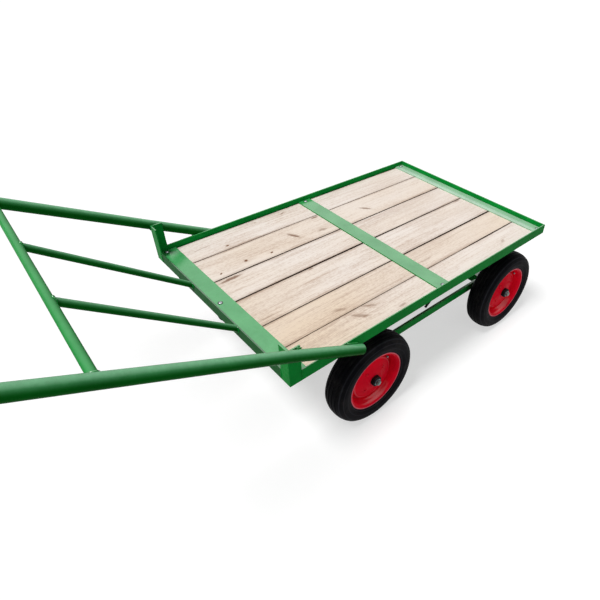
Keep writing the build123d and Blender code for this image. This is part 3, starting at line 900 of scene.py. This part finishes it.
class CART_OT_welds(bpy.types.Operator):
    """Run weld beads where the bars and tubes meet"""
    bl_idname = "cart.welds"
    bl_label = "Weld the frame"
    bl_options = {"REGISTER", "UNDO"}

    def execute(self, context):
        green = enamel("green_enamel", context.scene.cart_colours)
        for name, run in (("shaft", self.shafts), ("tray", self.tray), ("under_frame", self.under_frame)):
            bm = bmesh.new()
            run(bm, context.scene.cart_sizes.bead)
            finish_piece(bm, f"{name}_welds", green, "cart", sharp=60)
        return {"FINISHED"}

    def seam(self, bm, start, end, side, up, r, count):
        """A bead in the notch between a shaft and the face that it lies on."""
        notch = -(SHAFT_RADIUS - 0.8 * r)
        bead(bm, line(shaft_point(start, side, up, notch), shaft_point(end, side, up, notch), count), r)

    def shaft_x(self, height):
        """Where a shaft's middle line is at a height."""
        return SHAFT_FOOT.x + (height - SHAFT_FOOT.z) / SHAFT_WAY.z * SHAFT_WAY.x

    def shafts(self, bm, r):
        notch = 2 * math.sqrt(SHAFT_RADIUS * r)
        lean = SHAFT_FOOT.x + 8 * MM
        for side in SIDES.values():
            self.seam(bm, lean, self.shaft_x(LIP_TOP - notch), side, notch, r, 12)
            self.seam(bm, lean + 14 * MM, self.shaft_x(LIP_TOP + notch), side, -notch, r, 12)
            start, end = FRONT_X - LEG + 2 * MM, FRONT_X - 3 * MM
            self.seam(bm, start, min(end, self.shaft_x(POST_TOP - notch)), side, notch, r, 8)
            self.seam(bm, start, end, side, -notch, r, 8)
            bend = SHAFT_BEND + Vector((0, side * SHAFT_Y, 0))
            splayed = SHAFT_WAY + Vector((0, side * SHAFT_SPLAY * SHAFT_WAY.x, 0))
            bead(bm, saddle(CROSS_MIDDLE, side * CROSS_WAY, CROSS_RADIUS + 0.4 * r, bend, splayed,
                            SHAFT_RADIUS + 0.2 * r, -1), r, closed=True)
            low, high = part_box("brace_l" if side > 0 else "brace_r")
            radius, y = (high.y - low.y) / 2, (high.y + low.y) / 2
            foot = Vector((FRONT_X, y, BRACE_FOOT))
            way = (CROSS_MIDDLE + CROSS_WAY * y - foot).normalized()
            bead(bm, saddle(foot, way, radius + 0.4 * r, CROSS_MIDDLE, CROSS_WAY, CROSS_RADIUS + 0.2 * r, -1),
                 0.85 * r, closed=True)
            wide, ring = radius + 0.3 * r, []
            for i in range(40):
                a = 2 * math.pi * i / 40
                height = min(foot.z + wide / way.x * math.sin(a), LIP_TOP)
                ring.append(Vector((FRONT_X + 0.3 * r, y + wide * math.cos(a), height)))
            bead(bm, ring, 0.9 * r, closed=True)

    def tray(self, bm, r):
        r *= 0.72
        for side in SIDES.values():
            edge_y, leg_y, lip_y = (side * (TRAY_HALF - inset) for inset in (0, LEG, THICK))
            runs = [
                ((FRONT_X - LEG, edge_y, TRAY_Z + 1 * MM), (FRONT_X - LEG, edge_y, LIP_TOP), 8),
                ((FRONT_X, leg_y, TRAY_Z + 1 * MM), (FRONT_X, leg_y, LIP_TOP), 8),
                ((REAR_X, edge_y, TRAY_Z), (REAR_X, edge_y, LIP_TOP), 8),
                ((REAR_X + THICK, lip_y, TRAY_Z + 20 * MM), (REAR_X + THICK, lip_y, LIP_TOP), 6),
                ((REAR_X + 1 * MM, edge_y - side * MM, TRAY_Z), (REAR_X + LEG, leg_y, TRAY_Z), 8),
                ((FRONT_X - LEG, edge_y - side * 2 * MM, TRAY_Z), (FRONT_X - LEG, leg_y, TRAY_Z), 8),
            ]
            for start, end, count in runs:
                bead(bm, line(start, end, count), r)

    def under_frame(self, bm, r):
        for name in ("bolster_front", "bolster_rear", "bearer_mid"):
            low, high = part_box(name)
            for y in (low.y, high.y):
                bead(bm, line((low.x, y, TRAY_Z), (high.x, y, TRAY_Z), 8), 0.8 * r)
        for tag, side in WHEELS.items():
            low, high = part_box(f"leg_{tag}")
            face = high.y if side > 0 else low.y
            bead(bm, line((low.x, face, low.z), (high.x, face, low.z), 8), r)
            bead(bm, line((low.x, low.y, high.z), (low.x, high.y, high.z), 8), r)
            axle_low, axle_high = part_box("axle_front" if tag[0] == "f" else "axle_rear")
            middle = (axle_low.x + axle_high.x) / 2
            rail_low, rail_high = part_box(f"lower_rail_{tag[1]}")
            for x in (middle - LEG / 2, middle + LEG / 2):
                start = (x, rail_low.y + 2 * MM, rail_low.z)
                bead(bm, line(start, (x, rail_high.y - 2 * MM, rail_low.z), 8), r)


def wheel_place(tag):
    """The matrix of a wheel: Z points out from the cart along the axle."""
    low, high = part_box(f"tyre_{tag}")
    return place_on((low + high) / 2, (0, WHEELS[tag], 0))


class CART_OT_tyres(bpy.types.Operator):
    """Mould the ribbed tyres"""
    bl_idname = "cart.tyres"
    bl_label = "Mould the tyres"
    bl_options = {"REGISTER", "UNDO"}

    def execute(self, context):
        rubber = tyre_rubber(context.scene.cart_colours)
        low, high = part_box("tyre_fl")
        profile = self.profile(context.scene.cart_sizes.rib_depth / MM, (high.y - low.y) / 2 / MM)
        # Painted highlight rings on the wall and at the shoulder
        highlight_rings = [max(0.0, *(1 - abs(r - at) / wide for at, wide in HIGHLIT_RINGS)) for r, h in profile]
        for tag in WHEELS:
            bm = bmesh.new()
            lathe(bm, in_mm(profile), wheel_place(tag), 144, highlight_rings=highlight_rings)
            finish_piece(bm, f"ribbed_tyre_{tag}", rubber, f"wheel_{tag}", [f"tyre_{tag}"], sharp=40)
        return {"FINISHED"}

    def profile(self, depth, widest):
        """Half the section from the bead outwards and over the crown, then its mirror image, mm."""
        half = []
        for r, h in rounded(TYRE_WALL, 3):
            lift = sum(tall * max(0.0, 1 - abs(r - at) / wide) for at, tall, wide in RAISED)
            half.append((r + 0.2 * lift, min(h + lift, widest)))
        shoulder, edge = TYRE_WALL[-1]
        steps = 60
        for i in range(1, steps + 1):
            h = edge * (1 - i / steps)
            r = TYRE_RADIUS - (TYRE_RADIUS - shoulder) * (h / edge) ** 2.4
            for at, width, share in GROOVES:
                away = abs(h - at)
                if away < width:
                    r -= share * depth * min(1.0, (width - away) / (0.35 * width))
            half.append((r, h))
        return half + [(r, -h) for r, h in reversed(half[:-1])]


class CART_OT_rims(bpy.types.Operator):
    """Press the dished rims, with their small bolts and valves"""
    bl_idname = "cart.rims"
    bl_label = "Press the rims"
    bl_options = {"REGISTER", "UNDO"}

    def execute(self, context):
        colours, sizes = context.scene.cart_colours, context.scene.cart_sizes
        red, steel = enamel("red_enamel", colours), plated("dull_steel", colours.steel)
        barrel = rounded(RIM_HALF + [(r, -h) for r, h in reversed(RIM_HALF)], 2)
        disc = rounded(RIM_DISC, 3)
        turns = [2 * math.pi * i / 80 for i in range(80)]
        for tag in WHEELS:
            place, body = wheel_place(tag), f"wheel_{tag}"
            bm = bmesh.new()
            for part in (barrel, disc):
                outline = sheet_outline(in_mm(part), sizes.sheet)
                # Painted highlight: the lip and the dish's shoulder are lightened towards the red edge colour
                highlight_rings = [self.ring_highlight(r / MM) for r, h in outline]
                lathe(bm, outline, place, 128, highlight_rings=highlight_rings)
            ring = [Vector((RIM_WELD * math.cos(a), RIM_WELD * math.sin(a), -0.2 * MM)) for a in turns]
            ring = [place @ point for point in ring]
            bead(bm, ring, RIM_WELD_BEAD, closed=True, sides=8)
            finish_piece(bm, f"dished_rim_{tag}", red, body, [f"rim_{tag}"], sharp=45)
            self.bolts(tag, place, sizes.wheel_bolt_circle, red)
            self.valve(tag, place, sizes.valve_circle, red, steel)
        return {"FINISHED"}

    def ring_highlight(self, r):
        """How strong the painted highlight is at a radius in mm: on the lip, and less on the dish's shoulder.
        """
        return max(min(1.0, (r - HIGHLIT_LIP) / 2.5), 0.7 - abs(r - HIGHLIT_SHOULDER) / 4.5, 0)

    def bolts(self, tag, place, circle, red):
        bm = bmesh.new()
        washer = in_mm(RIM_BOLT_WASHER)
        for i in range(4):
            a = RIM_BOLT_TURN + i * math.pi / 2
            spot = place @ Matrix.Translation((circle * math.cos(a), circle * math.sin(a), RIM_BOLT_OUT))
            lathe(bm, washer, spot, 24, closed=False)
            top = spot @ Matrix.Translation((0, 0, washer[-1][1]))
            hexagon(bm, top, RIM_BOLT_FLATS, RIM_BOLT_HEIGHT, 0, 36)
        finish_piece(bm, f"rim_bolts_{tag}", red, f"wheel_{tag}")

    def valve(self, tag, place, circle, red, steel):
        foot = Matrix.Translation((circle * math.cos(VALVE_TURN), circle * math.sin(VALVE_TURN), VALVE_OUT))
        spot = place @ foot
        bm = bmesh.new()
        lathe(bm, in_mm(rounded(VALVE_STEM, 2)), spot, 24, closed=False)
        finish_piece(bm, f"valve_stem_{tag}", red, f"wheel_{tag}")
        bm = bmesh.new()
        lathe(bm, in_mm(VALVE_CAP), spot, 20, closed=False)
        finish_piece(bm, f"valve_cap_{tag}", steel, f"wheel_{tag}")


class CART_OT_hubs(bpy.types.Operator):
    """Turn the hub sleeves, and put washers and nuts on the axle ends"""
    bl_idname = "cart.hubs"
    bl_label = "Fit the hubs"
    bl_options = {"REGISTER", "UNDO"}

    def execute(self, context):
        colours = context.scene.cart_colours
        black, steel = enamel("black_enamel", colours), plated("dull_steel", colours.steel)
        for tag in WHEELS:
            place = wheel_place(tag)
            bm = bmesh.new()
            lathe(bm, in_mm(HUB_SLEEVE), place, 56)
            finish_piece(bm, f"hub_sleeve_{tag}", black, f"wheel_{tag}", [f"hub_{tag}"],
                         sharp=28)
            bm = bmesh.new()
            lathe(bm, in_mm(AXLE_WASHER), place, 48)
            finish_piece(bm, f"axle_washer_{tag}", steel, "cart", sharp=28)
            bm = bmesh.new()
            hexagon(bm, place @ Matrix.Translation((0, 0, NUT_OUT)), NUT_FLATS, NUT_HEIGHT, NUT_HOLE)
            thread = place @ Matrix.Translation((0, 0, THREAD_OUT))
            threaded(bm, thread, THREAD_RADIUS, THREAD_REACH, 1.5 * MM, 32)
            finish_piece(bm, f"hex_nut_{tag}", steel, "cart", [f"axle_nut_{tag}"], sharp=28)
        return {"FINISHED"}


class CART_OT_stage(bpy.types.Operator):
    """Set up the floor, the lamps, the sky and the camera"""
    bl_idname = "cart.stage"
    bl_label = "Set the stage"
    bl_options = {"REGISTER", "UNDO"}

    def execute(self, context):
        stage = context.scene.cart_stage
        self.floor(context.scene.cart_colours.floor, stage.white)
        self.sky(stage.sky)
        self.lamp("soft_sun", "SUN", stage.sun, *SUN).angle = stage.sun_spread
        self.lamp("side_lamp", "AREA", stage.side_lamp, *SIDE_LAMP).size = SIDE_LAMP_SIZE
        self.camera(stage.lens)
        return {"FINISHED"}

    def seen(self, graph):
        """1 for rays that show the backdrop: from the camera, and through gloss and glass."""
        path = graph.node("LightPath").outputs
        either = graph.math("MAXIMUM", path["Is Camera Ray"], path["Is Glossy Ray"])
        return graph.math("MAXIMUM", either, path["Is Transmission Ray"])

    def floor(self, paper, white):
        made = bpy.data.materials.new("floor_paper")
        made.use_nodes = True
        made.node_tree.nodes.clear()
        graph = Graph(made.node_tree)
        matt = graph.node("BsdfDiffuse", Color=paper)
        lift = graph.node("Emission", Strength=graph.times(self.seen(graph), white))
        both = graph.node("AddShader")
        graph.put(both.inputs[0], matt.outputs[0])
        graph.put(both.inputs[1], lift.outputs[0])
        graph.node("OutputMaterial", Surface=both.outputs[0])
        bm = bmesh.new()
        corners = ((-1, -1), (1, -1), (1, 1), (-1, 1))
        bm.faces.new([bm.verts.new((x * FLOOR_REACH, y * FLOOR_REACH, 0)) for x, y in corners])
        mesh = bpy.data.meshes.new("floor")
        bm.to_mesh(mesh)
        bm.free()
        mesh.materials.append(made)
        floor = add_object("floor", mesh)

    def sky(self, level):
        world = bpy.data.worlds.new("studio")
        bpy.context.scene.world = world
        world.use_nodes = True
        world.node_tree.nodes.clear()
        graph = Graph(world.node_tree)
        strength = graph.remap(self.seen(graph), 0.0, 1.0, level, 1.0)
        light = graph.node("Background", Color=(1, 1, 1), Strength=strength)
        graph.node("OutputWorld", Surface=light.outputs[0])

    def lamp(self, name, kind, power, place, target):
        light = bpy.data.lights.new(name, kind)
        light.energy = power
        lamp = add_object(name, light)
        way = Vector(target) - Vector(place)
        lamp.matrix_world = Matrix.Translation(place) @ way.to_track_quat("-Z", "Y").to_matrix().to_4x4()
        return light

    def camera(self, lens):
        view = bpy.data.cameras.new("camera")
        view.lens, view.sensor_width = lens, 36.0
        view.shift_x, view.shift_y = CAMERA_SHIFT
        camera = add_object("camera", view)
        axes = (CAMERA_RIGHT, CAMERA_UP, CAMERA_RIGHT.cross(CAMERA_UP))
        camera.matrix_world = Matrix.Translation(CAMERA_PLACE) @ Matrix(axes).transposed().to_4x4()
        bpy.context.scene.camera = camera
        bpy.context.scene.view_settings.view_transform = "Standard"


OPERATORS = (CART_OT_stage, CART_OT_enamel, CART_OT_boards, CART_OT_strap_bolts, CART_OT_welds, CART_OT_tyres,
             CART_OT_rims, CART_OT_hubs)


class CART_PT_panel(bpy.types.Panel):
    """The cart's settings and operators"""
    bl_idname = "CART_PT_panel"
    bl_label = "Hand cart"
    bl_space_type = "VIEW_3D"
    bl_region_type = "UI"
    bl_category = "Hand cart"

    def draw(self, context):
        for group in (context.scene.cart_colours, context.scene.cart_sizes, context.scene.cart_stage):
            box = self.layout.box()
            for name in group.__annotations__:
                box.prop(group, name)
        for operator in OPERATORS:
            self.layout.operator(operator.bl_idname)


GROUPS = {"cart_colours": CartColours, "cart_sizes": CartSizes, "cart_stage": CartStage}
CLASSES = (*GROUPS.values(), *OPERATORS, CART_PT_panel)


def register():
    for item in CLASSES:
        bpy.utils.register_class(item)
    for name, group in GROUPS.items():
        setattr(bpy.types.Scene, name, bpy.props.PointerProperty(type=group))


def unregister():
    for name in GROUPS:
        delattr(bpy.types.Scene, name)
    for item in reversed(CLASSES):
        bpy.utils.unregister_class(item)


def main():
    register()
    for operator in OPERATORS:
        verb = operator.bl_idname.split(".")[1]
        getattr(bpy.ops.cart, verb)()


if __name__ == "__main__":
    main()
